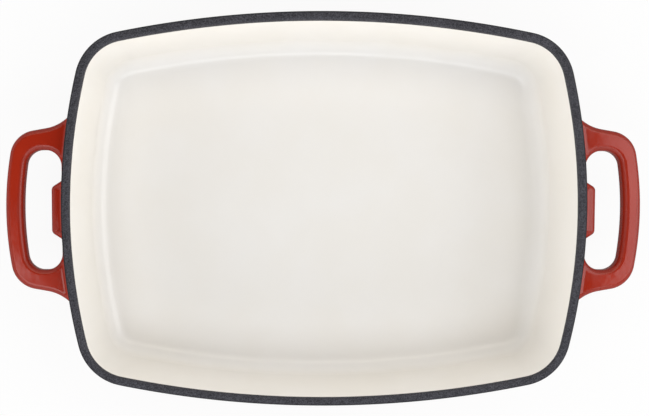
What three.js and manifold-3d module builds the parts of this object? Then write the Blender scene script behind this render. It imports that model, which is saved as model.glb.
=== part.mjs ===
// Rectangular enamelled cast-iron baking dish with a loop handle at each end, in millimetres, +Z up.
// X runs from handle to handle, Y runs across the dish, and the origin is the middle of the foot.
// Sizes are those of the finished dish, over the enamel. Each layer lies at a depth below that surface.
import * as THREE from "three";
import { mergeVertices } from "three/addons/utils/BufferGeometryUtils.js";
import Module from "manifold-3d";

const wasm = await Module();
wasm.setup();

const { degToRad } = THREE.MathUtils;

// Rim outline seen from above: a rectangle whose four sides bow outwards between round corners.
const RIM_WIDTH = 277.2;
const END_BOW_RADIUS = 415;
const SIDE_BOW_RADIUS = 724;
const CORNER_RADIUS = 37.5;

// Section through the wall, floor and foot.
const HEIGHT = 65;
const RIM_THICKNESS = 5.95;
const RIM_ROUNDING = 1.9;
const OUTER_DRAFT = degToRad(9);
const INNER_DRAFT = degToRad(8);
const BASE_ROUNDING = 16;
const FLOOR_FILLET = 13.5;
const FLOOR_THICKNESS = 5;
const FOOT_WIDTH = 8;
const FOOT_HEIGHT = 1.2;
const FOOT_FLANK = 2;

// Enamel coats, and how far the bare ground coat of the rim reaches down each side of the wall.
const ENAMEL = 0.5;
const COAT_GAP = 0.1;
const BAND_OUTSIDE = 3.4;
const BAND_INSIDE = 2.6;

// Loop handles, cast in one with the pan. The flat plate of each stands out below the rim's band.
const OVERALL_LENGTH = 452;
const HANDLE_REACH = 41;
const HANDLE_DROP = 5;
const HANDLE_THICKNESS = 12;
const HANDLE_EDGE_ROUNDING = 3.5;
const GRIP_BOW_RADIUS = 230;
const GRIP_WIDTH = 12.2;
const HANDLE_SPAN = 114.8;
const HANDLE_CORNER_RADIUS = 20;
const ARM_FLARE = degToRad(10);
const ROOT_FILLET_RADIUS = 30;
const ROOT_SINK = 1;
const ROOT_DEPTH = 4;

// Finger opening of each handle, with the lug that stands into it from the wall.
const FINGER_SPAN = 85;
const FINGER_CORNER_RADIUS = 11.5;
const LEDGE_REACH = 1.5;
const LUG_REACH = 7.2;
const LUG_FACE_WIDTH = 28;
const LUG_FLANK_ANGLE = degToRad(33);
const LUG_ROUNDING = 4;

// Facets.
const CORNER_STEPS = 7;
const END_STEPS = 6;
const SIDE_STEPS = 8;
const ROUNDING_STEPS = 4;
const RIM_STEPS = 3;
const HANDLE_ARC_STEPS = 6;
const HANDLE_EDGE_STEPS = 2;
const LUG_STEPS = 2;

// Sizes that follow from those above.
const RIM_LENGTH = OVERALL_LENGTH - 2 * HANDLE_REACH;
const IRON_DEPTH = ENAMEL + COAT_GAP;
const LEAST_CORNER_RADIUS = 2;
const OVERCUT = 1;
const RIM_SETBACK = RIM_ROUNDING * ((1 + Math.sin(OUTER_DRAFT)) / Math.cos(OUTER_DRAFT) - 1);
const HANDLE_TAIL = ROOT_DEPTH + 3 * HANDLE_EDGE_ROUNDING;
const END_CENTRE = new THREE.Vector2(RIM_LENGTH / 2 - END_BOW_RADIUS, 0);
const SIDE_CENTRE = new THREE.Vector2(0, RIM_WIDTH / 2 - SIDE_BOW_RADIUS);
const FLOOR_TOP = FOOT_HEIGHT + FLOOR_THICKNESS;
const BAND_EDGE_OUTSIDE = HEIGHT - BAND_OUTSIDE;
const BAND_EDGE_INSIDE = HEIGHT - BAND_INSIDE;
const HANDLE_TOP = BAND_EDGE_OUTSIDE - HANDLE_DROP;
const HANDLE_BOTTOM = HANDLE_TOP - HANDLE_THICKNESS;

// Plane geometry.

function arc(centre, radius, from, to, steps) {
  const points = [];
  for (let i = 0; i <= steps; i++) {
    const angle = from + ((to - from) * i) / steps;
    const ray = new THREE.Vector2(Math.cos(angle), Math.sin(angle));
    points.push(ray.multiplyScalar(radius).add(centre));
  }
  return points;
}

function angleFrom(centre, point) {
  return Math.atan2(point.y - centre.y, point.x - centre.x);
}

// Where two circles cross, on the left of the way from the first centre to the second.
function crossing(centreA, radiusA, centreB, radiusB) {
  const way = centreB.clone().sub(centreA);
  const distance = way.length();
  const along = (distance ** 2 + radiusA ** 2 - radiusB ** 2) / (2 * distance);
  const aside = Math.sqrt(radiusA ** 2 - along ** 2);
  way.normalize();
  const left = new THREE.Vector2(-way.y, way.x);
  return centreA.clone().addScaledVector(way, along).addScaledVector(left, aside);
}

// Where a line meets a circle, on the far side along the line's direction.
function lineMeetsCircle(origin, direction, centre, radius) {
  const offset = origin.clone().sub(centre);
  const half = offset.dot(direction);
  const reach = -half + Math.sqrt(half ** 2 - offset.lengthSq() + radius ** 2);
  return origin.clone().addScaledVector(direction, reach);
}

function mirrored(points) {
  return points.map((p) => new THREE.Vector2(p.x, -p.y)).reverse();
}

// The bowed rectangle at an inset from the rim's outer edge, anticlockwise seen from above.
function outline(inset) {
  const corner = Math.max(CORNER_RADIUS - inset, LEAST_CORNER_RADIUS);
  const end = END_BOW_RADIUS - inset;
  const side = SIDE_BOW_RADIUS - inset;
  const centre = crossing(END_CENTRE, end - corner, SIDE_CENTRE, side - corner);
  const opposite = new THREE.Vector2(-centre.x, centre.y);
  const endTurn = angleFrom(END_CENTRE, centre);
  const sideTurn = angleFrom(SIDE_CENTRE, centre);
  const arcs = [
    arc(END_CENTRE, end, -endTurn, endTurn, END_STEPS),
    arc(centre, corner, endTurn, sideTurn, CORNER_STEPS),
    arc(SIDE_CENTRE, side, sideTurn, Math.PI - sideTurn, SIDE_STEPS),
    arc(opposite, corner, Math.PI - sideTurn, Math.PI - endTurn, CORNER_STEPS),
  ];
  const half = arcs.flatMap((points) => points.slice(0, -1));
  return [...half, ...half.map((p) => p.clone().negate())];
}

// Section of the pan as points (inset, height), each at a depth below the finished surface.

function outerWall(height, depth) {
  const inset = (HEIGHT - height) * Math.tan(OUTER_DRAFT) - RIM_SETBACK;
  return new THREE.Vector2(
    inset + depth * Math.cos(OUTER_DRAFT),
    height + depth * Math.sin(OUTER_DRAFT),
  );
}

function innerWall(height, depth) {
  const inset = RIM_THICKNESS + (HEIGHT - height) * Math.tan(INNER_DRAFT);
  return new THREE.Vector2(
    inset - depth * Math.cos(INNER_DRAFT),
    height - depth * Math.sin(INNER_DRAFT),
  );
}

// Inset of the centre of a rounding of a given radius at a given height that touches a drafted wall.
function insetBehindOuterWall(radius, height) {
  return (radius + (HEIGHT - height) * Math.sin(OUTER_DRAFT)) / Math.cos(OUTER_DRAFT) - RIM_SETBACK;
}

function insetBeforeInnerWall(radius, height) {
  return RIM_THICKNESS + (radius + (HEIGHT - height) * Math.sin(INNER_DRAFT)) / Math.cos(INNER_DRAFT);
}

const BASE_CENTRE = new THREE.Vector2(insetBehindOuterWall(BASE_ROUNDING, BASE_ROUNDING), BASE_ROUNDING);
const FOOT_EDGE = BASE_CENTRE.x + FOOT_WIDTH;

function underside(depth) {
  return [
    new THREE.Vector2(FOOT_EDGE + FOOT_FLANK, FOOT_HEIGHT + depth),
    new THREE.Vector2(FOOT_EDGE, depth),
  ];
}

function baseRounding(depth) {
  return arc(BASE_CENTRE, BASE_ROUNDING - depth, 1.5 * Math.PI, Math.PI + OUTER_DRAFT, ROUNDING_STEPS);
}

function rimOverTop(depth) {
  const height = HEIGHT - RIM_ROUNDING;
  const outer = new THREE.Vector2(insetBehindOuterWall(RIM_ROUNDING, height), height);
  const inner = new THREE.Vector2(insetBeforeInnerWall(-RIM_ROUNDING, height), height);
  const radius = RIM_ROUNDING - depth;
  return [
    ...arc(outer, radius, Math.PI + OUTER_DRAFT, Math.PI / 2, RIM_STEPS),
    ...arc(inner, radius, Math.PI / 2, INNER_DRAFT, RIM_STEPS),
  ];
}

function floorFillet(depth) {
  const height = FLOOR_TOP + FLOOR_FILLET;
  const centre = new THREE.Vector2(insetBeforeInnerWall(FLOOR_FILLET, height), height);
  return arc(centre, FLOOR_FILLET + depth, Math.PI + INNER_DRAFT, 1.5 * Math.PI, ROUNDING_STEPS);
}

// Solids.

function solid(geometry) {
  const bare = new THREE.BufferGeometry();
  bare.setAttribute("position", geometry.getAttribute("position"));
  bare.setIndex(geometry.getIndex());
  const merged = mergeVertices(bare, 1e-4);
  const vertProperties = merged.getAttribute("position").array;
  const triVerts = new Uint32Array(merged.getIndex().array);
  return new wasm.Manifold(new wasm.Mesh({ numProp: 3, vertProperties, triVerts }));
}

// A section carried round the bowed outline. An open section is closed by a flat face at each end.
function sweep(section, closesOnItself = false) {
  const rings = section.map((p) => outline(p.x).map((q) => [q.x, q.y, p.y]));
  const count = rings[0].length;
  const positions = rings.flat();
  const triangles = [];
  const bands = closesOnItself ? rings.length : rings.length - 1;
  for (let k = 0; k < bands; k++) {
    const low = k * count;
    const high = ((k + 1) % rings.length) * count;
    for (let i = 0; i < count; i++) {
      const next = (i + 1) % count;
      triangles.push(low + i, low + next, high + next);
      triangles.push(low + i, high + next, high + i);
    }
  }
  if (!closesOnItself) {
    const last = (rings.length - 1) * count;
    const firstMiddle = positions.push([0, 0, section[0].y]) - 1;
    const lastMiddle = positions.push([0, 0, section[section.length - 1].y]) - 1;
    for (let i = 0; i < count; i++) {
      const next = (i + 1) % count;
      triangles.push(firstMiddle, next, i);
      triangles.push(lastMiddle, last + i, last + next);
    }
  }
  const geometry = new THREE.BufferGeometry();
  geometry.setAttribute("position", new THREE.Float32BufferAttribute(positions.flat(), 3));
  geometry.setIndex(triangles);
  return solid(geometry);
}

// Outer edge of the handle plate: a bowed grip, round corners, flared arms and fillets into the wall.
function handleEdge(depth) {
  const gripCentre = new THREE.Vector2(OVERALL_LENGTH / 2 - GRIP_BOW_RADIUS, 0);
  const wallRadius = END_BOW_RADIUS - outerWall(HANDLE_BOTTOM, ROOT_SINK).x;
  const armDirection = new THREE.Vector2(Math.cos(ARM_FLARE), -Math.sin(ARM_FLARE));
  const armNormal = new THREE.Vector2(Math.sin(ARM_FLARE), Math.cos(ARM_FLARE));
  const armMiddle = new THREE.Vector2((ledgeX() + gripInnerX()) / 2, HANDLE_SPAN / 2);

  const cornerCentre = lineMeetsCircle(
    armMiddle.clone().addScaledVector(armNormal, -HANDLE_CORNER_RADIUS),
    armDirection,
    gripCentre,
    GRIP_BOW_RADIUS - HANDLE_CORNER_RADIUS,
  );
  const filletCentre = lineMeetsCircle(
    armMiddle.clone().addScaledVector(armNormal, ROOT_FILLET_RADIUS),
    armDirection,
    END_CENTRE,
    wallRadius + ROOT_FILLET_RADIUS,
  );
  const armTurn = armNormal.angle();
  const gripTurn = angleFrom(gripCentre, cornerCentre);
  const wallTurn = angleFrom(END_CENTRE, filletCentre);
  const insideWall = new THREE.Vector2(Math.cos(wallTurn), Math.sin(wallTurn))
    .multiplyScalar(wallRadius - HANDLE_TAIL)
    .add(END_CENTRE);
  const filletRadius = ROOT_FILLET_RADIUS + depth;
  const cornerRadius = HANDLE_CORNER_RADIUS - depth;
  const upper = [
    insideWall,
    ...arc(filletCentre, filletRadius, Math.PI + wallTurn, Math.PI + armTurn, HANDLE_ARC_STEPS),
    ...arc(cornerCentre, cornerRadius, armTurn, gripTurn, HANDLE_ARC_STEPS),
  ];
  const grip = arc(gripCentre, GRIP_BOW_RADIUS - depth, gripTurn, -gripTurn, HANDLE_ARC_STEPS);
  return [...upper, ...grip.slice(1, -1), ...mirrored(upper)];
}

function ledgeX() {
  return RIM_LENGTH / 2 + LEDGE_REACH;
}

function gripInnerX() {
  return OVERALL_LENGTH / 2 - GRIP_WIDTH;
}

// Edge of the finger opening: the grip's inner side, round corners, and a ledge on the wall with its lug.
// The corners stay as round as the depth of the opening at its ends allows.
function fingerEdge(depth) {
  const gripCentre = new THREE.Vector2(OVERALL_LENGTH / 2 - GRIP_BOW_RADIUS, 0);
  const innerRadius = GRIP_BOW_RADIUS - GRIP_WIDTH;
  const endDepth = gripCentre.x + Math.sqrt(innerRadius ** 2 - (FINGER_SPAN / 2) ** 2) - ledgeX();
  const fillet = Math.min(FINGER_CORNER_RADIUS, endDepth / 2);
  const cornerHeight = FINGER_SPAN / 2 - fillet;
  const gripCorner = lineMeetsCircle(
    new THREE.Vector2(0, cornerHeight),
    new THREE.Vector2(1, 0),
    gripCentre,
    innerRadius - fillet,
  );
  const wallCorner = new THREE.Vector2(ledgeX() + fillet, cornerHeight);
  const gripTurn = angleFrom(gripCentre, gripCorner);
  const cornerRadius = fillet + depth;

  const lugX = ledgeX() + LUG_REACH;
  const tipCentre = new THREE.Vector2(lugX - LUG_ROUNDING, LUG_FACE_WIDTH / 2);
  const flankTurn = Math.PI / 2 - LUG_FLANK_ANGLE;
  const tip = arc(tipCentre, LUG_ROUNDING - depth, flankTurn, 0, LUG_STEPS);
  const lugRootX = ledgeX() - depth;
  const lugRootY = tip[0].y + (tip[0].x - lugRootX) * Math.tan(LUG_FLANK_ANGLE);

  const upper = [
    ...arc(gripCorner, cornerRadius, gripTurn, Math.PI / 2, HANDLE_ARC_STEPS),
    ...arc(wallCorner, cornerRadius, Math.PI / 2, Math.PI, HANDLE_ARC_STEPS),
    new THREE.Vector2(lugRootX, lugRootY),
    ...tip,
  ];
  const grip = arc(gripCentre, innerRadius + depth, -gripTurn, gripTurn, HANDLE_ARC_STEPS);
  return [...grip.slice(1, -1), ...upper, ...mirrored(upper)];
}

// The handle plate at one end, with its edges rounded, running into the wall behind it.
function handle(depth, turn) {
  const plan = new THREE.Shape(handleEdge(depth));
  plan.holes.push(new THREE.Path(fingerEdge(depth)));
  const rounding = HANDLE_EDGE_ROUNDING - depth;
  const geometry = new THREE.ExtrudeGeometry(plan, {
    depth: HANDLE_THICKNESS - 2 * HANDLE_EDGE_ROUNDING,
    bevelThickness: rounding,
    bevelSize: rounding,
    bevelOffset: -rounding,
    bevelSegments: HANDLE_EDGE_STEPS,
  });
  geometry.translate(0, 0, HANDLE_BOTTOM + HANDLE_EDGE_ROUNDING);
  geometry.rotateZ(turn);
  return solid(geometry);
}

function bothHandles(depth) {
  return handle(depth, 0).add(handle(depth, Math.PI));
}

// The iron: floor, foot, walls and rim in one section, with both handles and their lugs.
function ironCasting() {
  const pan = sweep([
    ...underside(IRON_DEPTH),
    ...baseRounding(IRON_DEPTH),
    ...rimOverTop(IRON_DEPTH),
    ...floorFillet(IRON_DEPTH),
  ]);
  const withinWall = sweep([
    outerWall(HANDLE_BOTTOM - OVERCUT, ROOT_DEPTH),
    outerWall(HANDLE_TOP + OVERCUT, ROOT_DEPTH),
  ]);
  return pan.add(bothHandles(IRON_DEPTH).subtract(withinWall));
}

// The outer cover coat: a skin over the walls, the handles and the lugs, from the foot to the rim's band.
function outerEnamel() {
  const edge = BAND_EDGE_OUTSIDE - COAT_GAP;
  const foot = BASE_CENTRE.x;
  const outside = sweep([
    new THREE.Vector2(foot + OVERCUT, 0),
    ...baseRounding(0),
    outerWall(edge, 0),
  ]);
  const inside = sweep([
    new THREE.Vector2(foot, -OVERCUT),
    ...baseRounding(ENAMEL),
    outerWall(edge + OVERCUT, ENAMEL),
  ]);
  return outside.add(bothHandles(0)).subtract(inside.add(bothHandles(ENAMEL)));
}

// The inner cover coat: a tray that lines the floor and the walls up to the rim's band.
function innerEnamel() {
  const edge = BAND_EDGE_INSIDE - COAT_GAP;
  return sweep([
    ...floorFillet(ENAMEL).reverse(),
    innerWall(edge, ENAMEL),
    innerWall(edge, 0),
    ...floorFillet(0),
  ]);
}

// The ground coat left bare over the rim.
function rimEnamel() {
  const section = [
    outerWall(BAND_EDGE_OUTSIDE, 0),
    ...rimOverTop(0),
    innerWall(BAND_EDGE_INSIDE, 0),
    innerWall(BAND_EDGE_INSIDE, ENAMEL),
    ...rimOverTop(ENAMEL).reverse(),
    outerWall(BAND_EDGE_OUTSIDE, ENAMEL),
  ];
  return sweep(section, true);
}

// The ground coat left bare on the foot and on the shallow panel inside it.
function baseEnamel() {
  const edge = BASE_CENTRE.x + COAT_GAP;
  return sweep([
    ...underside(0),
    new THREE.Vector2(edge, 0),
    new THREE.Vector2(edge, ENAMEL),
    ...underside(ENAMEL).reverse(),
  ]);
}

// Scene graph.

function piece(name, made, colour, roughness, metalness) {
  const { vertProperties, triVerts } = made.getMesh();
  const geometry = new THREE.BufferGeometry();
  geometry.setAttribute("position", new THREE.BufferAttribute(vertProperties, 3));
  geometry.setIndex(new THREE.BufferAttribute(triVerts, 1));
  geometry.computeVertexNormals();
  const material = new THREE.MeshStandardMaterial({ color: colour, roughness, metalness });
  const mesh = new THREE.Mesh(geometry, material);
  mesh.name = name;
  return mesh;
}

const bakingDish = new THREE.Group();
bakingDish.add(
  piece("iron_casting", ironCasting(), 0x4a4a4c, 0.7, 0.9),
  piece("red_outer_enamel", outerEnamel(), 0xa83c2c, 0.2, 0),
  piece("cream_inner_enamel", innerEnamel(), 0xf2eee6, 0.25, 0),
  piece("black_rim_enamel", rimEnamel(), 0x424149, 0.6, 0),
  piece("black_base_enamel", baseEnamel(), 0x3a3a3e, 0.6, 0),
);

export default bakingDish;
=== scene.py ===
"""Looks of the enamelled cast-iron baking dish, in metres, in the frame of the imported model.

X runs from handle to handle, Y across the dish and Z up. The iron casting stays as packed and is
hidden. The four areas of enamel on it are modelled here as smooth coats, in place of the faceted ones.
"""
import math

import bmesh
import bpy
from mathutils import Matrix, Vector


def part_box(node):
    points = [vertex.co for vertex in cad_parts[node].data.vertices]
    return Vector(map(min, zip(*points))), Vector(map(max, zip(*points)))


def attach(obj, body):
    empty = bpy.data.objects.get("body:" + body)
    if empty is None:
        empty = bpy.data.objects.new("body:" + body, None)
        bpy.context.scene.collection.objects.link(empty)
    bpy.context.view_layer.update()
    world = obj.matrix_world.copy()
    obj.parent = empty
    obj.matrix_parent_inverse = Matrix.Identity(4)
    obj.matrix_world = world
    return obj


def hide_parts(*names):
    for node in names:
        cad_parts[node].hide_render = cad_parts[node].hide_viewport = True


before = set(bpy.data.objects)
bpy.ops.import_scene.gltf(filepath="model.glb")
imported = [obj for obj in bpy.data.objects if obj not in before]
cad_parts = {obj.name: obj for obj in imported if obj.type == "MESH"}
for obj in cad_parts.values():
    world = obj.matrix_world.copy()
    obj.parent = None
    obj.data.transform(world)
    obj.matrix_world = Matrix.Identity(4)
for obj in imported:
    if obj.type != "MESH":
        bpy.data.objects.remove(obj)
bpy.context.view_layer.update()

MM = 0.001

# Sizes read from the frame.
RIM_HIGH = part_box("black_rim_enamel")[1]
RED_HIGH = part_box("red_outer_enamel")[1]
HALF_LENGTH = RIM_HIGH.x
HALF_WIDTH = RIM_HIGH.y
HEIGHT = RIM_HIGH.z
HALF_OVERALL = RED_HIGH.x

# Outline of the rim seen from above.
END_BOW_RADIUS = 415 * MM
SIDE_BOW_RADIUS = 724 * MM
CORNER_RADIUS = 37.5 * MM
END_CENTRE = (HALF_LENGTH - END_BOW_RADIUS, 0.0)
SIDE_CENTRE = (0.0, HALF_WIDTH - SIDE_BOW_RADIUS)

# Section through the wall, floor and foot.
RIM_THICKNESS = 5.95 * MM
RIM_ROUNDING = 1.9 * MM
OUTER_DRAFT = math.radians(9)
INNER_DRAFT = math.radians(8)
BASE_ROUNDING = 16 * MM
FLOOR_FILLET = 13.5 * MM
FLOOR_TOP = 6.2 * MM
FLOOR_BORDER = 4 * MM
FOOT_WIDTH = 8 * MM
FOOT_HEIGHT = 1.2 * MM
FOOT_FLANK = 2 * MM
ENAMEL = 0.5 * MM
BAND_EDGE_OUTSIDE = HEIGHT - 3.4 * MM
BAND_INSIDE = 2.75 * MM
BAND_LEAN = (0.2 * MM, 0.85 * MM)
BAND_WAVE = 0.12 * MM
BAND_PROBE = 10 * MM
LINING_LEVEL = HEIGHT - 5 * MM
RIM_SETBACK = RIM_ROUNDING * ((1 + math.sin(OUTER_DRAFT)) / math.cos(OUTER_DRAFT) - 1)

# Handles.
HANDLE_TOP = BAND_EDGE_OUTSIDE - 5 * MM
HANDLE_THICKNESS = 12 * MM
HANDLE_BOTTOM = HANDLE_TOP - HANDLE_THICKNESS
HANDLE_EDGE_ROUNDING = 3.6 * MM
GRIP_BOW_RADIUS = 230 * MM
GRIP_WIDTH = 12.2 * MM
HANDLE_SPAN = 114.8 * MM
HANDLE_CORNER_RADIUS = 20 * MM
ARM_FLARE = math.radians(10)
ROOT_FILLET_RADIUS = 30 * MM
ROOT_SINK = 1 * MM
HANDLE_TAIL = 14.5 * MM
COVE_REACH = 5 * MM
COVE_RISE = 4.5 * MM
COVE_STEEPEST = 0.97
FINGER_SPAN = 85 * MM
FINGER_CORNER_RADIUS = 11.5 * MM
LEDGE_X = HALF_LENGTH + 1.5 * MM
LUG_REACH = 7.2 * MM
LUG_FACE_WIDTH = 28 * MM
LUG_FLANK_ANGLE = math.radians(33)
LUG_ROUNDING = 4 * MM
LUG_ROOT_ROUNDING = 2 * MM

# Points along the curves.
END_STEPS = 48
SIDE_STEPS = 60
CORNER_STEPS = 20
RIM_OUTER_STEPS = 10
RIM_TOP_STEPS = 3
RIM_INNER_STEPS = 8
FILLET_STEPS = 18
INNER_WALL_STEPS = 12
OUTER_WALL_STEPS = 18
BASE_ROUNDING_STEPS = 14
FOOT_STEPS = 4
EDGE_STEPS = 7
PLATE_STEPS = 24
TAIL_STEPS = 24
ROOT_STEPS = 32
ARM_STEPS = 6
HANDLE_CORNER_STEPS = 20
GRIP_STEPS = 40
LEDGE_STEPS = 6
LUG_ROOT_STEPS = 6
LUG_TIP_STEPS = 8
LUG_FACE_STEPS = 16
COVE_PASSES = 4
SHORTEST_EDGE = 0.05 * MM
MERGE_DISTANCE = 0.001 * MM
LEVEL_TOLERANCE = 0.01 * MM
SMOOTH_ANGLE = math.radians(40)

# Colours of the finishes.
RED_DEEP = (0.328, 0.02, 0.0072)
RED_BRIGHT = (0.364, 0.0248, 0.0092)
RED_THIN = (0.14, 0.011, 0.006)
CREAM_PALE = (0.89, 0.87, 0.849)
# The warm cream is both a random warm tone of the glaze and the painted shade of the walls.
CREAM_WARM_AND_SHADED = (0.851, 0.815, 0.755)
CREAM_PINHOLE = (0.5, 0.42, 0.32)
RIM_DARK = (0.003, 0.003, 0.007)
RIM_GREY = (0.07, 0.068, 0.086)
RIM_WORN = (0.06, 0.059, 0.07)
BASE_DARK = (0.018, 0.018, 0.022)
BASE_GREY = (0.05, 0.049, 0.057)
BASE_WORN = (0.16, 0.155, 0.15)
IRON_DARK = (0.05, 0.05, 0.053)
IRON_GREY = (0.11, 0.11, 0.115)

# Name of the points' own measure of how sharply the skin is rounded, in radians for each metre.
SHARPNESS = "sharpness"

# Finishes: shares, roughness, relief and features in a metre.
CLOUD_SCALE = 22.0
PATCH_SCALE = 45.0
RUB_SCALE = 260.0
PINHOLE_SIZE = 0.06
PINHOLE_DEPTH = 0.1
PIT_SIZE = 0.3
PIT_DEPTH = 0.5
RED_THIN_FROM = 140.0
RED_THINNEST_AT = 400.0
RED_THINNING = 0.45
RED_PINHOLES = 0.5
RED_ROUGHNESS = (0.14, 0.1)
RED_EDGE_ROUGHNESS = 0.3
RED_RELIEF = 0.12 * MM
# Share of painted shade on the cream walls and fillets, above the floor.
CREAM_WALL_PAINTED_SHADE = 0.65
CREAM_CLOUD_WARMTH = 0.25
CREAM_PINHOLES = 0.35
CREAM_ROUGHNESS = (0.15, 0.11)
CREAM_RELIEF = 0.1 * MM
BLACK_RUBBED_FROM = 200.0
BLACK_BAREST_AT = 900.0
BLACK_ROUGHNESS = (0.7, 0.52)
BLACK_RELIEF = 0.16 * MM
RIM_WEAR = 0.25
RIM_GRAIN = 1300.0
# Share of painted shade on the rim's side that faces out of the dish.
RIM_PAINTED_SIDE_SHADE = 0.9
BASE_WEAR = 0.6
BASE_GRAIN = 1000.0
IRON_GRAIN = 700.0
IRON_PITS = 260.0
IRON_METAL = 0.7
IRON_RELIEF = 0.3 * MM

# Stage, light and camera.
FLOOR_SIZE = 40.0
FLOOR_COLOUR = (0.32, 0.32, 0.32)
SEEN_FLOOR = (0.9, 0.9, 0.9)
SEEN_WHITE = 0.9
REFLECTED_WHITE = 0.06
SKY_LOW = 0.35
SKY_HIGH = 0.85
SKY_LIGHT = 1.49
SKY_SHEEN = 0.4
SKY_LEAN = (-0.1, -0.45, 0.0)
WHITE = (1.0, 1.0, 1.0)
LONG_BOX = (1.8, 0.5)
FRONT_PLACE = (0.0, -0.8, 1.35)
FRONT_WATTS = 6.4
FRONT_COLOUR = (0.93, 0.97, 1.0)
BACK_PLACE = (0.0, 0.8, 1.35)
BACK_WATTS = 4.9
BACK_COLOUR = (1.0, 0.93, 0.79)
RIGHT_BOX = (0.9, 0.95)
RIGHT_PLACE = (1.05, 0.08, 1.15)
RIGHT_WATTS = 5.7
RIGHT_COLOUR = (0.97, 0.985, 1.0)
LEFT_BOX = (0.45, 0.42)
LEFT_PLACE = (-0.7, -0.35, 1.3)
LEFT_WATTS = 1.6
CAMERA_PLACE = (-32.1 * MM, 13.4 * MM, 715 * MM)
CAMERA_TURN = (-0.0534, -0.0100, 0.0011)
LENS_SHIFT = (0.0557, 0.0508)
NEAREST_SEEN = 0.01
IMAGE_WIDTH = 649
FOCAL_PIXELS = 927.8
SENSOR_WIDTH = 36.0


# Plane curves.


def arc(centre, radius, start, end, steps):
    points = []
    for i in range(steps + 1):
        angle = start + (end - start) * i / steps
        points.append((centre[0] + radius * math.cos(angle), centre[1] + radius * math.sin(angle)))
    return points


def straight(start, end, steps):
    return [(start[0] + (end[0] - start[0]) * i / steps, start[1] + (end[1] - start[1]) * i / steps)
            for i in range(steps + 1)]


def mirrored(points):
    return [(x, -y) for x, y in reversed(points)]


def angle_from(centre, point):
    return math.atan2(point[1] - centre[1], point[0] - centre[0])


def crossing(centre_a, radius_a, centre_b, radius_b):
    """Where two circles cross, on the left of the way from the first centre to the second."""
    dx, dy = centre_b[0] - centre_a[0], centre_b[1] - centre_a[1]
    distance = math.hypot(dx, dy)
    along = (distance ** 2 + radius_a ** 2 - radius_b ** 2) / (2 * distance)
    aside = math.sqrt(radius_a ** 2 - along ** 2)
    dx, dy = dx / distance, dy / distance
    return centre_a[0] + dx * along - dy * aside, centre_a[1] + dy * along + dx * aside


def line_meets_circle(origin, direction, centre, radius):
    """Where a line meets a circle, on the far side along the line's direction."""
    x, y = origin[0] - centre[0], origin[1] - centre[1]
    half = x * direction[0] + y * direction[1]
    reach = -half + math.sqrt(half ** 2 - x ** 2 - y ** 2 + radius ** 2)
    return origin[0] + direction[0] * reach, origin[1] + direction[1] * reach


def outline(inset):
    """The bowed rectangle at an inset from the rim's outer edge."""
    corner = CORNER_RADIUS - inset
    end = END_BOW_RADIUS - inset
    side = SIDE_BOW_RADIUS - inset
    centre = crossing(END_CENTRE, end - corner, SIDE_CENTRE, side - corner)
    end_turn = angle_from(END_CENTRE, centre)
    side_turn = angle_from(SIDE_CENTRE, centre)
    half = arc(END_CENTRE, end, -end_turn, end_turn, END_STEPS)[:-1]
    half += arc(centre, corner, end_turn, side_turn, CORNER_STEPS)[:-1]
    half += arc(SIDE_CENTRE, side, side_turn, math.pi - side_turn, SIDE_STEPS)[:-1]
    half += arc((-centre[0], centre[1]), corner, math.pi - side_turn, math.pi - end_turn, CORNER_STEPS)[:-1]
    return half + [(-x, -y) for x, y in half]


# Section of the pan, as (inset, height).


def outer_wall(height, depth=0.0):
    inset = (HEIGHT - height) * math.tan(OUTER_DRAFT) - RIM_SETBACK
    return inset + depth * math.cos(OUTER_DRAFT), height + depth * math.sin(OUTER_DRAFT)


def inner_wall(height):
    return RIM_THICKNESS + (HEIGHT - height) * math.tan(INNER_DRAFT), height


def behind_outer_wall(radius, height):
    return (radius + (HEIGHT - height) * math.sin(OUTER_DRAFT)) / math.cos(OUTER_DRAFT) - RIM_SETBACK


def before_inner_wall(radius, height):
    return RIM_THICKNESS + (radius + (HEIGHT - height) * math.sin(INNER_DRAFT)) / math.cos(INNER_DRAFT)


BASE_CENTRE = (behind_outer_wall(BASE_ROUNDING, BASE_ROUNDING), BASE_ROUNDING)


# Modelling helpers.


def level_ring(points, height):
    return [(x, y, height) for x, y in points]


def wiped_edge():
    """The inner edge of the black band, wiped by hand: deepest at the back, and a little wavy."""
    ring = []
    upper = outline(inner_wall(HEIGHT)[0])
    lower = outline(inner_wall(HEIGHT - BAND_PROBE)[0])
    for top, below in zip(upper, lower):
        across, along = top[0] / HALF_LENGTH, top[1] / HALF_WIDTH
        turn = math.atan2(along, across)
        depth = BAND_INSIDE + BAND_LEAN[0] * across + BAND_LEAN[1] * along
        depth += BAND_WAVE * (math.sin(5 * turn + 1) + math.sin(13 * turn) / 2)
        share = depth / BAND_PROBE
        x = top[0] + (below[0] - top[0]) * share
        y = top[1] + (below[1] - top[1]) * share
        ring.append((x, y, HEIGHT - depth))
    return ring


def start_ring(name, ring):
    """A circle added, opened for editing and laid along a closed curve."""
    bpy.ops.object.select_all(action="DESELECT")
    bpy.ops.mesh.primitive_circle_add(vertices=len(ring))
    piece = bpy.context.object
    piece.name = name
    piece.data.name = name
    bpy.ops.object.mode_set(mode="EDIT")
    lay_ring(piece, ring)
    return piece


def lay_ring(piece, ring):
    mesh = bmesh.from_edit_mesh(piece.data)
    chosen = [vertex for vertex in mesh.verts if vertex.select]
    for vertex, place in zip(chosen, ring):
        vertex.co = place
    bmesh.update_edit_mesh(piece.data)


def select_faces(piece, wanted):
    bpy.ops.mesh.select_mode(type="FACE")
    bpy.ops.mesh.select_all(action="DESELECT")
    mesh = bmesh.from_edit_mesh(piece.data)
    for face in mesh.faces:
        face.select_set(wanted(face))
    mesh.select_flush_mode()
    bmesh.update_edit_mesh(piece.data)


def select_edges(piece, wanted):
    bpy.ops.mesh.select_mode(type="EDGE")
    bpy.ops.mesh.select_all(action="DESELECT")
    mesh = bmesh.from_edit_mesh(piece.data)
    for edge in mesh.edges:
        edge.select_set(wanted(edge))
    mesh.select_flush_mode()
    bmesh.update_edit_mesh(piece.data)


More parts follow.
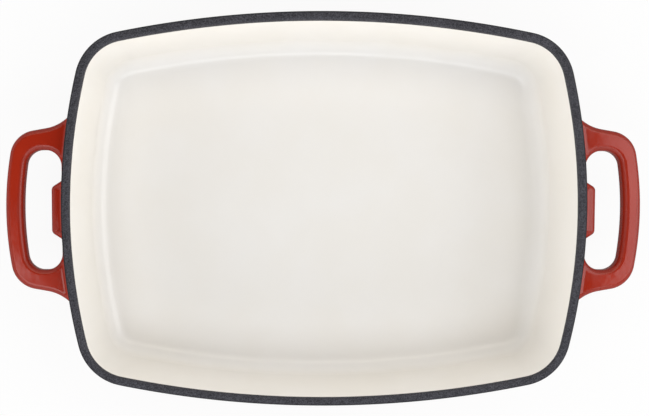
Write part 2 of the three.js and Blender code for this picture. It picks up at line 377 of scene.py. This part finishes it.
def skin_along(name, rings):
    """A ring, extruded from one closed curve to the next."""
    piece = start_ring(name, rings[0])
    for ring in rings[1:]:
        bpy.ops.mesh.extrude_edges_move()
        lay_ring(piece, ring)
    return piece


def bowed_rings(section):
    """Rings of the bowed outline at the stations of a section."""
    return [level_ring(outline(inset), height) for inset, height in section]


def apply_modifier(piece, kind, **settings):
    modifier = piece.modifiers.new(kind.title(), kind)
    for name, value in settings.items():
        setattr(modifier, name, value)
    bpy.context.view_layer.objects.active = piece
    bpy.ops.object.modifier_apply(modifier=modifier.name)


def measure_edges(piece):
    """Keeps, for each point of a skin, how sharply the skin is rounded there towards the outside."""
    mesh = piece.data
    values = [0.0] * len(mesh.vertices)
    for edge in mesh.edges:
        first, second = (mesh.vertices[i] for i in edge.vertices)
        way = second.co - first.co
        length = way.length
        if length > SHORTEST_EDGE:
            turn = (second.normal - first.normal).dot(way) / length ** 2
            for i in edge.vertices:
                values[i] = max(values[i], turn)
    attribute = mesh.attributes.new(SHARPNESS, "FLOAT", "POINT")
    attribute.data.foreach_set("value", values)


def thicken(piece):
    """A skin gets the thickness of the enamel on the side away from its normals."""
    measure_edges(piece)
    apply_modifier(piece, "SOLIDIFY", thickness=ENAMEL, offset=-1.0, use_even_offset=True)


def smooth(piece):
    bpy.ops.object.select_all(action="DESELECT")
    piece.select_set(True)
    bpy.context.view_layer.objects.active = piece
    bpy.ops.object.shade_smooth_by_angle(angle=SMOOTH_ANGLE)


def face_towards(piece, outward):
    """Flips a skin if most of its faces look the wrong way. outward(centre, normal) is positive if right."""
    mesh = bmesh.from_edit_mesh(piece.data)
    mesh.normal_update()
    score = sum(outward(face.calc_center_median(), face.normal) for face in mesh.faces)
    bpy.ops.mesh.select_all(action="SELECT")
    if score < 0:
        bpy.ops.mesh.flip_normals()


def finish_piece(piece, material, node):
    piece.data.materials.clear()
    piece.data.materials.append(material)
    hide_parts(node)
    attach(piece, "root")


# Coats of the pan.


def make_rim():
    height = HEIGHT - RIM_ROUNDING
    outer = (behind_outer_wall(RIM_ROUNDING, height), height)
    inner = (before_inner_wall(-RIM_ROUNDING, height), height)
    section = [outer_wall(BAND_EDGE_OUTSIDE)]
    section += arc(outer, RIM_ROUNDING, math.pi + OUTER_DRAFT, math.pi / 2, RIM_OUTER_STEPS)
    section += straight((outer[0], HEIGHT), (inner[0], HEIGHT), RIM_TOP_STEPS)[1:-1]
    section += arc(inner, RIM_ROUNDING, math.pi / 2, INNER_DRAFT, RIM_INNER_STEPS)
    rim = skin_along("black_rim_coat", bowed_rings(section) + [wiped_edge()])
    face_towards(rim, lambda centre, normal: normal.z)
    bpy.ops.object.mode_set(mode="OBJECT")
    thicken(rim)
    smooth(rim)
    return rim


def make_lining():
    height = FLOOR_TOP + FLOOR_FILLET
    centre = (before_inner_wall(FLOOR_FILLET, height), height)
    fillet = arc(centre, FLOOR_FILLET, math.pi + INNER_DRAFT, 1.5 * math.pi, FILLET_STEPS)
    section = straight(inner_wall(LINING_LEVEL), fillet[0], INNER_WALL_STEPS) + fillet[1:]
    section.append((centre[0] + FLOOR_BORDER, FLOOR_TOP))
    lining = skin_along("cream_lining", [wiped_edge()] + bowed_rings(section))
    bpy.ops.mesh.edge_face_add()
    face_towards(lining, lambda centre, normal: normal.z)
    bpy.ops.object.mode_set(mode="OBJECT")
    thicken(lining)
    smooth(lining)
    return lining


def make_base():
    foot_edge = BASE_CENTRE[0] + FOOT_WIDTH
    section = straight((BASE_CENTRE[0], 0.0), (foot_edge, 0.0), FOOT_STEPS)
    section += straight((foot_edge, 0.0), (foot_edge + FOOT_FLANK, FOOT_HEIGHT), FOOT_STEPS)[1:]
    base = skin_along("black_base_coat", bowed_rings(section))
    bpy.ops.mesh.edge_face_add()
    face_towards(base, lambda centre, normal: -normal.z)
    bpy.ops.object.mode_set(mode="OBJECT")
    thicken(base)
    smooth(base)
    return base


# Handles.


def handle_rails(depth):
    """Outer edge of a handle and edge of its finger opening, moved into the plate, with equal point counts."""
    grip_centre = (HALF_OVERALL - GRIP_BOW_RADIUS, 0.0)
    grip_inner = GRIP_BOW_RADIUS - GRIP_WIDTH
    wall_radius = END_BOW_RADIUS - outer_wall(HANDLE_BOTTOM, ROOT_SINK)[0]
    arm_way = (math.cos(ARM_FLARE), -math.sin(ARM_FLARE))
    arm_normal = (math.sin(ARM_FLARE), math.cos(ARM_FLARE))
    arm_turn = math.pi / 2 - ARM_FLARE
    arm_middle = ((LEDGE_X + HALF_OVERALL - GRIP_WIDTH) / 2, HANDLE_SPAN / 2)

    def beside_arm(distance):
        return arm_middle[0] + arm_normal[0] * distance, arm_middle[1] + arm_normal[1] * distance

    corner = line_meets_circle(
        beside_arm(-HANDLE_CORNER_RADIUS), arm_way, grip_centre, GRIP_BOW_RADIUS - HANDLE_CORNER_RADIUS)
    root = line_meets_circle(
        beside_arm(ROOT_FILLET_RADIUS), arm_way, END_CENTRE, wall_radius + ROOT_FILLET_RADIUS)
    wall_turn = angle_from(END_CENTRE, root)
    grip_turn = angle_from(grip_centre, corner)

    finger_height = FINGER_SPAN / 2 - FINGER_CORNER_RADIUS
    grip_corner = line_meets_circle(
        (0.0, finger_height), (1.0, 0.0), grip_centre, grip_inner - FINGER_CORNER_RADIUS)
    wall_corner = (LEDGE_X + FINGER_CORNER_RADIUS, finger_height)
    finger_turn = angle_from(grip_centre, grip_corner)

    flank_turn = math.pi / 2 - LUG_FLANK_ANGLE
    flank_normal = (math.cos(flank_turn), math.sin(flank_turn))
    tip = (LEDGE_X + LUG_REACH - LUG_ROUNDING, LUG_FACE_WIDTH / 2)
    flank_reach = tip[0] * flank_normal[0] + tip[1] * flank_normal[1] + LUG_ROUNDING + LUG_ROOT_ROUNDING
    lug_root_x = LEDGE_X + LUG_ROOT_ROUNDING
    lug_root = (lug_root_x, (flank_reach - lug_root_x * flank_normal[0]) / flank_normal[1])

    ledge_x = LEDGE_X - depth
    ledge = straight((ledge_x, finger_height), (ledge_x, lug_root[1]), LEDGE_STEPS)[:-1]
    ledge += arc(lug_root, LUG_ROOT_ROUNDING + depth, math.pi, math.pi + flank_turn, LUG_ROOT_STEPS)
    ledge += arc(tip, LUG_ROUNDING - depth, flank_turn, 0.0, LUG_TIP_STEPS)
    face = straight(ledge[-1], (ledge[-1][0], -ledge[-1][1]), LUG_FACE_STEPS)
    ledge = (ledge + face[1:-1] + mirrored(ledge))[1:-1]
    tail_radius = wall_radius - HANDLE_TAIL
    tail = [(END_CENTRE[0] + math.sqrt(tail_radius ** 2 - y ** 2), y) for x, y in ledge]
    tail_turn = math.asin(finger_height / tail_radius)
    tail_end = arc(END_CENTRE, tail_radius, tail_turn, wall_turn, TAIL_STEPS)[:-1]

    root_start, root_end = math.pi + wall_turn, math.pi + arm_turn
    root_arc = arc(root, ROOT_FILLET_RADIUS + depth, root_start, root_end, ROOT_STEPS)
    corner_arc = arc(corner, HANDLE_CORNER_RADIUS - depth, arm_turn, grip_turn, HANDLE_CORNER_STEPS)
    arm = straight(root_arc[-1], corner_arc[0], ARM_STEPS)[1:-1]
    grip = arc(grip_centre, GRIP_BOW_RADIUS - depth, grip_turn, -grip_turn, GRIP_STEPS)[1:-1]
    upper = tail_end + root_arc + arm + corner_arc
    outer = tail[::-1] + upper + grip + mirrored(upper)

    finger_radius = FINGER_CORNER_RADIUS + depth
    wall_arc = arc(wall_corner, finger_radius, math.pi, math.pi / 2, TAIL_STEPS + ROOT_STEPS)
    grip_arc = arc(grip_corner, finger_radius, math.pi / 2, finger_turn, HANDLE_CORNER_STEPS)
    finger_arm = straight(wall_arc[-1], grip_arc[0], ARM_STEPS)[1:-1]
    finger_grip = arc(grip_centre, grip_inner + depth, finger_turn, -finger_turn, GRIP_STEPS)[1:-1]
    finger_upper = wall_arc + finger_arm + grip_arc
    inner = ledge[::-1] + finger_upper + finger_grip + mirrored(finger_upper)
    return outer, inner


def wall_distance(x, y, height):
    """How far a point stands off the outer face of the end wall."""
    return math.hypot(x - END_CENTRE[0], y) - END_BOW_RADIUS + outer_wall(height)[0]


def cove_rise(distance):
    """How far the plate's faces swell towards the wall, at a distance from it: a quarter of an ellipse."""
    share = min(max(1 - distance / COVE_REACH, 0.0), COVE_STEEPEST)
    return COVE_RISE * (1 - math.sqrt(1 - share ** 2))


def handle_rings():
    """Rings of a handle plate: up its outer edge, over its top, down into the opening and back under it."""
    radius = HANDLE_EDGE_ROUNDING
    turns = [math.pi / 2 * i / EDGE_STEPS for i in range(EDGE_STEPS + 1)]
    lower = [(radius - radius * math.sin(t), HANDLE_BOTTOM + radius - radius * math.cos(t)) for t in turns]
    upper = [(depth, HANDLE_TOP + HANDLE_BOTTOM - height) for depth, height in reversed(lower)]
    edge = lower + upper
    outer, inner = handle_rails(radius)
    shares = [i / PLATE_STEPS for i in range(1, PLATE_STEPS)]
    across = []
    for share in shares:
        across.append([(a[0] + (b[0] - a[0]) * share, a[1] + (b[1] - a[1]) * share)
                       for a, b in zip(outer, inner)])
    rings = [(handle_rails(depth)[0], height) for depth, height in edge]
    rings += [(ring, HANDLE_TOP) for ring in across]
    rings += [(handle_rails(depth)[1], height) for depth, height in reversed(edge)]
    rings += [(ring, HANDLE_BOTTOM) for ring in reversed(across)]
    return rings + rings[:1]


def make_handle():
    rings = [level_ring(points, height) for points, height in handle_rings()]
    handle = skin_along("handle", rings)
    bpy.ops.mesh.select_all(action="SELECT")
    bpy.ops.mesh.remove_doubles(threshold=MERGE_DISTANCE)
    bpy.ops.mesh.normals_make_consistent(inside=False)
    mesh = bmesh.from_edit_mesh(handle.data)
    middle = (HANDLE_TOP + HANDLE_BOTTOM) / 2
    for vertex in mesh.verts:
        height = vertex.co.z
        share = (height - middle) / (HANDLE_THICKNESS / 2)
        for _ in range(COVE_PASSES):
            distance = wall_distance(vertex.co.x, vertex.co.y, vertex.co.z)
            vertex.co.z = height + share * cove_rise(distance)
    bmesh.update_edit_mesh(handle.data)
    bpy.ops.object.mode_set(mode="OBJECT")
    return handle


def make_outside():
    rounding = arc(BASE_CENTRE, BASE_ROUNDING, 1.5 * math.pi, math.pi + OUTER_DRAFT, BASE_ROUNDING_STEPS)
    section = rounding + straight(rounding[-1], outer_wall(BAND_EDGE_OUTSIDE), OUTER_WALL_STEPS)[1:]
    outside = skin_along("red_outer_coat", bowed_rings(section))
    bpy.ops.mesh.edge_face_add()
    select_edges(outside, lambda edge: edge.is_boundary)
    bpy.ops.mesh.edge_face_add()
    bpy.ops.mesh.select_all(action="SELECT")
    bpy.ops.mesh.normals_make_consistent(inside=False)
    bpy.ops.object.mode_set(mode="OBJECT")

    right = make_handle()
    bpy.ops.object.select_all(action="DESELECT")
    right.select_set(True)
    bpy.context.view_layer.objects.active = right
    bpy.ops.object.duplicate()
    left = bpy.context.object
    left.rotation_euler = (0.0, 0.0, math.pi)
    bpy.ops.object.transform_apply(location=False, rotation=True, scale=False)
    for handle in (right, left):
        apply_modifier(outside, "BOOLEAN", operation="UNION", solver="MANIFOLD", object=handle)
        bpy.data.objects.remove(handle)

    bpy.ops.object.select_all(action="DESELECT")
    outside.select_set(True)
    bpy.context.view_layer.objects.active = outside
    bpy.ops.object.mode_set(mode="EDIT")
    rim_level = BAND_EDGE_OUTSIDE - LEVEL_TOLERANCE
    select_faces(outside, lambda face: all(v.co.z < LEVEL_TOLERANCE for v in face.verts)
                 or all(v.co.z > rim_level for v in face.verts))
    bpy.ops.mesh.delete(type="FACE")
    bpy.ops.object.mode_set(mode="OBJECT")
    thicken(outside)
    smooth(outside)
    return outside


# Material helpers.


def new_material(name):
    material = bpy.data.materials.new(name)
    material.use_nodes = True
    tree = material.node_tree
    shader = tree.nodes["Principled BSDF"]
    position = tree.nodes.new("ShaderNodeTexCoord").outputs["Object"]
    return material, tree, shader, position


def new_group(name, inputs, outputs):
    """An empty shader node group with number inputs, apart from its Position, and value outputs."""
    group = bpy.data.node_groups.new(name, "ShaderNodeTree")
    group.interface.new_socket("Position", in_out="INPUT", socket_type="NodeSocketVector")
    for socket in inputs:
        group.interface.new_socket(socket, in_out="INPUT", socket_type="NodeSocketFloat")
    for socket in outputs:
        group.interface.new_socket(socket, in_out="OUTPUT", socket_type="NodeSocketFloat")
    given = group.nodes.new("NodeGroupInput").outputs
    result = group.nodes.new("NodeGroupOutput").inputs
    return group, given, result


def use_group(tree, group, position, **values):
    """A group placed in a material. Its inputs take their values by name, with underscores for spaces."""
    node = tree.nodes.new("ShaderNodeGroup")
    node.node_tree = group
    tree.links.new(position, node.inputs["Position"])
    for name, value in values.items():
        feed(tree, node.inputs[name.replace("_", " ")], value)
    return node.outputs


def feed(tree, socket, value):
    if isinstance(value, bpy.types.NodeSocket):
        tree.links.new(value, socket)
    else:
        socket.default_value = value


def noise(tree, position, scale, detail, roughness=0.5):
    node = tree.nodes.new("ShaderNodeTexNoise")
    tree.links.new(position, node.inputs["Vector"])
    feed(tree, node.inputs["Scale"], scale)
    node.inputs["Detail"].default_value = detail
    node.inputs["Roughness"].default_value = roughness
    return node.outputs["Fac"]


def dots(tree, position, scale, size):
    """Round spots strewn over the surface, 1 in the middle and 0 outside. Size is a share of their spacing."""
    node = tree.nodes.new("ShaderNodeTexVoronoi")
    tree.links.new(position, node.inputs["Vector"])
    feed(tree, node.inputs["Scale"], scale)
    return spread(tree, node.outputs["Distance"], 0.0, size, 1.0, 0.0)


def spread(tree, value, low, high, to_low=0.0, to_high=1.0):
    node = tree.nodes.new("ShaderNodeMapRange")
    node.interpolation_type = "SMOOTHSTEP"
    for socket, number in zip(node.inputs, (value, low, high, to_low, to_high)):
        feed(tree, socket, number)
    return node.outputs["Result"]


def calculate(tree, operation, first, second):
    node = tree.nodes.new("ShaderNodeMath")
    node.operation = operation
    feed(tree, node.inputs[0], first)
    feed(tree, node.inputs[1], second)
    return node.outputs["Value"]


def blend_colours(tree, share, first, second):
    node = tree.nodes.new("ShaderNodeMix")
    node.data_type = "RGBA"
    colours = [socket for socket in node.inputs if socket.type == "RGBA"]
    feed(tree, node.inputs["Factor"], share)
    for socket, colour in zip(colours, (first, second)):
        feed(tree, socket, colour if isinstance(colour, bpy.types.NodeSocket) else (*colour, 1.0))
    return [socket for socket in node.outputs if socket.type == "RGBA"][0]


def bump(tree, shader, height, distance):
    node = tree.nodes.new("ShaderNodeBump")
    node.inputs["Distance"].default_value = distance
    tree.links.new(height, node.inputs["Height"])
    tree.links.new(node.outputs["Normal"], shader.inputs["Normal"])


# Effects that several finishes share. Scales count features in a metre.


def make_fired_glaze():
    """Glossy enamel as it comes from the kiln: cloudy colour, slow waves, orange peel and pinholes."""
    inputs = ("Wave Scale", "Peel Scale", "Peel Share", "Pinhole Scale")
    group, given, result = new_group("fired_glaze", inputs, ("Cloud", "Height", "Pinholes"))
    position = given["Position"]
    cloud = noise(group, position, CLOUD_SCALE, 3.0)
    group.links.new(spread(group, cloud, 0.3, 0.7), result["Cloud"])
    waves = noise(group, position, given["Wave Scale"], 2.0)
    peel = noise(group, position, given["Peel Scale"], 2.0)
    peel = calculate(group, "MULTIPLY", peel, given["Peel Share"])
    pinholes = dots(group, position, given["Pinhole Scale"], PINHOLE_SIZE)
    sunk = calculate(group, "MULTIPLY", pinholes, -PINHOLE_DEPTH)
    height = calculate(group, "ADD", calculate(group, "ADD", waves, peel), sunk)
    group.links.new(height, result["Height"])
    group.links.new(pinholes, result["Pinholes"])
    return group


def make_casting_grain():
    """Grain of sand-cast iron, as it also shows through a thin matt ground coat: specks, patches and pits."""
    group, given, result = new_group(
        "casting_grain", ("Grain Scale", "Pit Scale"), ("Grain", "Patches", "Height"))
    position = given["Position"]
    grain = noise(group, position, given["Grain Scale"], 3.0, 0.65)
    group.links.new(spread(group, grain, 0.32, 0.68), result["Grain"])
    group.links.new(noise(group, position, PATCH_SCALE, 2.0), result["Patches"])
    pits = dots(group, position, given["Pit Scale"], PIT_SIZE)
    pits = calculate(group, "MULTIPLY", pits, PIT_DEPTH)
    group.links.new(calculate(group, "SUBTRACT", grain, pits), result["Height"])
    return group


def make_edge_wear():
    """Where a coat is thin or rubbed, on sharply rounded edges, broken up a little."""
    group, given, result = new_group("edge_wear", ("Sharpness", "Low", "High"), ("Mask",))
    rubbed = noise(group, given["Position"], RUB_SCALE, 3.0)
    rubbed = spread(group, rubbed, 0.25, 0.75, 0.55, 1.0)
    edge = spread(group, given["Sharpness"], given["Low"], given["High"])
    group.links.new(calculate(group, "MULTIPLY", edge, rubbed), result["Mask"])
    return group


fired_glaze = make_fired_glaze()
casting_grain = make_casting_grain()
edge_wear = make_edge_wear()


def edge_sharpness(tree):
    node = tree.nodes.new("ShaderNodeAttribute")
    node.attribute_name = SHARPNESS
    return node.outputs["Fac"]


# Finishes.


def make_red_enamel():
    material, tree, shader, position = new_material("red_enamel")
    glaze = use_group(tree, fired_glaze, position, Wave_Scale=75.0, Peel_Scale=420.0, Peel_Share=0.06,
                      Pinhole_Scale=160.0)
    edges = edge_sharpness(tree)
    thin = use_group(tree, edge_wear, position, Sharpness=edges, Low=RED_THIN_FROM,
                     High=RED_THINNEST_AT)["Mask"]
    colour = blend_colours(tree, glaze["Cloud"], RED_DEEP, RED_BRIGHT)
    colour = blend_colours(tree, calculate(tree, "MULTIPLY", thin, RED_THINNING), colour, RED_THIN)
    pinholes = calculate(tree, "MULTIPLY", glaze["Pinholes"], RED_PINHOLES)
    colour = blend_colours(tree, pinholes, colour, RED_THIN)
    tree.links.new(colour, shader.inputs["Base Color"])
    dull = spread(tree, edges, RED_THIN_FROM, RED_THINNEST_AT, 0.0, RED_EDGE_ROUGHNESS)
    roughness = calculate(tree, "ADD", spread(tree, glaze["Cloud"], 0.0, 1.0, *RED_ROUGHNESS), dull)
    tree.links.new(roughness, shader.inputs["Roughness"])
    bump(tree, shader, glaze["Height"], RED_RELIEF)
    return material


def make_cream_enamel():
    material, tree, shader, position = new_material("cream_enamel")
    glaze = use_group(tree, fired_glaze, position, Wave_Scale=40.0, Peel_Scale=520.0, Peel_Share=0.07,
                      Pinhole_Scale=210.0)
    split = tree.nodes.new("ShaderNodeSeparateXYZ")
    tree.links.new(position, split.inputs[0])
    wall_start = FLOOR_TOP + FLOOR_FILLET
    # Painted shade: by height, the fillets and walls are painted warmer and darker than the floor, for the
    # warm light bounced between them. The cloud adds a random warm tone.
    wall = spread(tree, split.outputs["Z"], FLOOR_TOP, wall_start, 0.0, CREAM_WALL_PAINTED_SHADE)
    cloud = calculate(tree, "MULTIPLY", glaze["Cloud"], CREAM_CLOUD_WARMTH)
    warmth_and_shade = calculate(tree, "ADD", cloud, wall)
    colour = blend_colours(tree, warmth_and_shade, CREAM_PALE, CREAM_WARM_AND_SHADED)
    pinholes = calculate(tree, "MULTIPLY", glaze["Pinholes"], CREAM_PINHOLES)
    colour = blend_colours(tree, pinholes, colour, CREAM_PINHOLE)
    tree.links.new(colour, shader.inputs["Base Color"])
    roughness = spread(tree, glaze["Cloud"], 0.0, 1.0, *CREAM_ROUGHNESS)
    tree.links.new(roughness, shader.inputs["Roughness"])
    bump(tree, shader, glaze["Height"], CREAM_RELIEF)
    return material


def facing_out(tree, position):
    """How far a face looks away from the middle of the dish: 1 outwards, 0 up or down, -1 inwards."""
    level = tree.nodes.new("ShaderNodeVectorMath")
    level.operation = "MULTIPLY"
    level.inputs[1].default_value = (1.0, 1.0, 0.0)
    tree.links.new(position, level.inputs[0])
    away = tree.nodes.new("ShaderNodeVectorMath")
    away.operation = "NORMALIZE"
    tree.links.new(level.outputs["Vector"], away.inputs[0])
    facing = tree.nodes.new("ShaderNodeVectorMath")
    facing.operation = "DOT_PRODUCT"
    tree.links.new(away.outputs["Vector"], facing.inputs[0])
    tree.links.new(tree.nodes.new("ShaderNodeNewGeometry").outputs["Normal"], facing.inputs[1])
    return facing.outputs["Value"]


def make_matt_black(name, dark, grey, worn, wear, grain_scale, painted_side_shade=0.0):
    material, tree, shader, position = new_material(name)
    coat = use_group(tree, casting_grain, position, Grain_Scale=grain_scale, Pit_Scale=grain_scale / 3)
    rubbed = use_group(tree, edge_wear, position, Sharpness=edge_sharpness(tree), Low=BLACK_RUBBED_FROM,
                       High=BLACK_BAREST_AT)["Mask"]
    tone = calculate(tree, "MULTIPLY", coat["Grain"], spread(tree, coat["Patches"], 0.3, 0.7, 0.75, 1.0))
    colour = blend_colours(tree, tone, dark, grey)
    colour = blend_colours(tree, calculate(tree, "MULTIPLY", rubbed, wear), colour, worn)
    # Painted shade: the side of the rim that faces out of the dish is darkened towards the dark colour, as if
    # turned away from the light.
    if painted_side_shade:
        painted_outer_shade = spread(tree, facing_out(tree, position), 0.15, 0.75, 0.0, painted_side_shade)
        colour = blend_colours(tree, painted_outer_shade, colour, dark)
    tree.links.new(colour, shader.inputs["Base Color"])
    tree.links.new(spread(tree, coat["Grain"], 0.0, 1.0, *BLACK_ROUGHNESS), shader.inputs["Roughness"])
    bump(tree, shader, coat["Height"], BLACK_RELIEF)
    return material


def make_cast_iron():
    material, tree, shader, position = new_material("cast_iron")
    skin = use_group(tree, casting_grain, position, Grain_Scale=IRON_GRAIN, Pit_Scale=IRON_PITS)
    tree.links.new(blend_colours(tree, skin["Grain"], IRON_DARK, IRON_GREY), shader.inputs["Base Color"])
    tree.links.new(spread(tree, skin["Patches"], 0.3, 0.7, 0.6, 0.75), shader.inputs["Roughness"])
    shader.inputs["Metallic"].default_value = IRON_METAL
    bump(tree, shader, skin["Height"], IRON_RELIEF)
    return material


# Stage.


def make_floor():
    """A floor that keeps the shadow. It looks nearly white to the camera and bounces less light than that."""
    bpy.ops.object.select_all(action="DESELECT")
    bpy.ops.mesh.primitive_plane_add(size=FLOOR_SIZE)
    floor = bpy.context.object
    floor.name = "studio_floor"
    material, tree, shader, _ = new_material("studio_floor")
    shader.inputs["Roughness"].default_value = 1.0
    shader.inputs["Specular IOR Level"].default_value = 0.0
    white = tree.nodes.new("ShaderNodeEmission")
    path = tree.nodes.new("ShaderNodeLightPath").outputs
    colour = blend_colours(tree, path["Is Camera Ray"], FLOOR_COLOUR, SEEN_FLOOR)
    tree.links.new(colour, shader.inputs["Base Color"])
    mirrored_rays = calculate(tree, "MAXIMUM", path["Is Glossy Ray"], path["Is Transmission Ray"])
    reflected = calculate(tree, "MULTIPLY", mirrored_rays, REFLECTED_WHITE)
    seen = calculate(tree, "MULTIPLY", path["Is Camera Ray"], SEEN_WHITE)
    mix = tree.nodes.new("ShaderNodeMixShader")
    tree.links.new(calculate(tree, "MAXIMUM", seen, reflected), mix.inputs["Fac"])
    tree.links.new(shader.outputs[0], mix.inputs[1])
    tree.links.new(white.outputs[0], mix.inputs[2])
    tree.links.new(mix.outputs[0], tree.nodes["Material Output"].inputs["Surface"])
    floor.data.materials.append(material)


def make_light(name, place, box, watts, colour=WHITE):
    """A softbox that faces the dish."""
    lamp = bpy.data.lights.new(name, "AREA")
    lamp.shape = "RECTANGLE"
    lamp.size = box[0]
    lamp.size_y = box[1]
    lamp.energy = watts
    lamp.color = colour
    holder = bpy.data.objects.new(name, lamp)
    bpy.context.scene.collection.objects.link(holder)
    holder.location = place
    holder.rotation_euler = holder.location.to_track_quat("Z", "Y").to_euler()


def make_sky():
    """White surroundings, brighter at the front and low down, dark overhead and dimmer in reflections."""
    world = bpy.data.worlds.new("studio")
    bpy.context.scene.world = world
    world.use_nodes = True
    tree = world.node_tree
    direction = tree.nodes.new("ShaderNodeTexCoord").outputs["Generated"]
    split = tree.nodes.new("ShaderNodeSeparateXYZ")
    tree.links.new(direction, split.inputs[0])
    ring = spread(tree, split.outputs["Z"], SKY_LOW, SKY_HIGH, 1.0, 0.0)
    lean = tree.nodes.new("ShaderNodeVectorMath")
    lean.operation = "DOT_PRODUCT"
    tree.links.new(direction, lean.inputs[0])
    lean.inputs[1].default_value = SKY_LEAN
    side = calculate(tree, "ADD", lean.outputs["Value"], SKY_LIGHT)
    side = calculate(tree, "MAXIMUM", side, 0.0)
    mirrored_rays = tree.nodes.new("ShaderNodeLightPath").outputs["Is Glossy Ray"]
    side = calculate(tree, "MULTIPLY", side, spread(tree, mirrored_rays, 0.0, 1.0, 1.0, SKY_SHEEN))
    tree.links.new(calculate(tree, "MULTIPLY", ring, side), tree.nodes["Background"].inputs["Strength"])
    tree.nodes["Background"].inputs["Color"].default_value = (*WHITE, 1.0)


def light_scene():
    make_sky()
    make_light("front_box", FRONT_PLACE, LONG_BOX, FRONT_WATTS, FRONT_COLOUR)
    make_light("back_box", BACK_PLACE, LONG_BOX, BACK_WATTS, BACK_COLOUR)
    make_light("right_box", RIGHT_PLACE, RIGHT_BOX, RIGHT_WATTS, RIGHT_COLOUR)
    make_light("left_box", LEFT_PLACE, LEFT_BOX, LEFT_WATTS)


def set_camera():
    """The camera looks down on the dish as in the photograph, a little aslant, with a slight lens shift."""
    data = bpy.data.cameras.new("camera")
    camera = bpy.data.objects.new("camera", data)
    bpy.context.scene.collection.objects.link(camera)
    camera.location = CAMERA_PLACE
    camera.rotation_mode = "ZXY"
    camera.rotation_euler = CAMERA_TURN
    data.sensor_width = SENSOR_WIDTH
    data.lens = FOCAL_PIXELS / IMAGE_WIDTH * SENSOR_WIDTH
    data.shift_x = LENS_SHIFT[0]
    data.shift_y = LENS_SHIFT[1]
    data.clip_start = NEAREST_SEEN
    bpy.context.scene.camera = camera


finish_piece(make_outside(), make_red_enamel(), "red_outer_enamel")
finish_piece(make_lining(), make_cream_enamel(), "cream_inner_enamel")
rim_black = make_matt_black("black_rim", RIM_DARK, RIM_GREY, RIM_WORN, RIM_WEAR, RIM_GRAIN, RIM_PAINTED_SIDE_SHADE)
finish_piece(make_rim(), rim_black, "black_rim_enamel")
base_black = make_matt_black("black_base", BASE_DARK, BASE_GREY, BASE_WORN, BASE_WEAR, BASE_GRAIN)
finish_piece(make_base(), base_black, "black_base_enamel")
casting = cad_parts["iron_casting"]
casting.data.materials.clear()
casting.data.materials.append(make_cast_iron())

make_floor()
light_scene()
set_camera()
bpy.context.scene.view_settings.view_transform = "Standard"
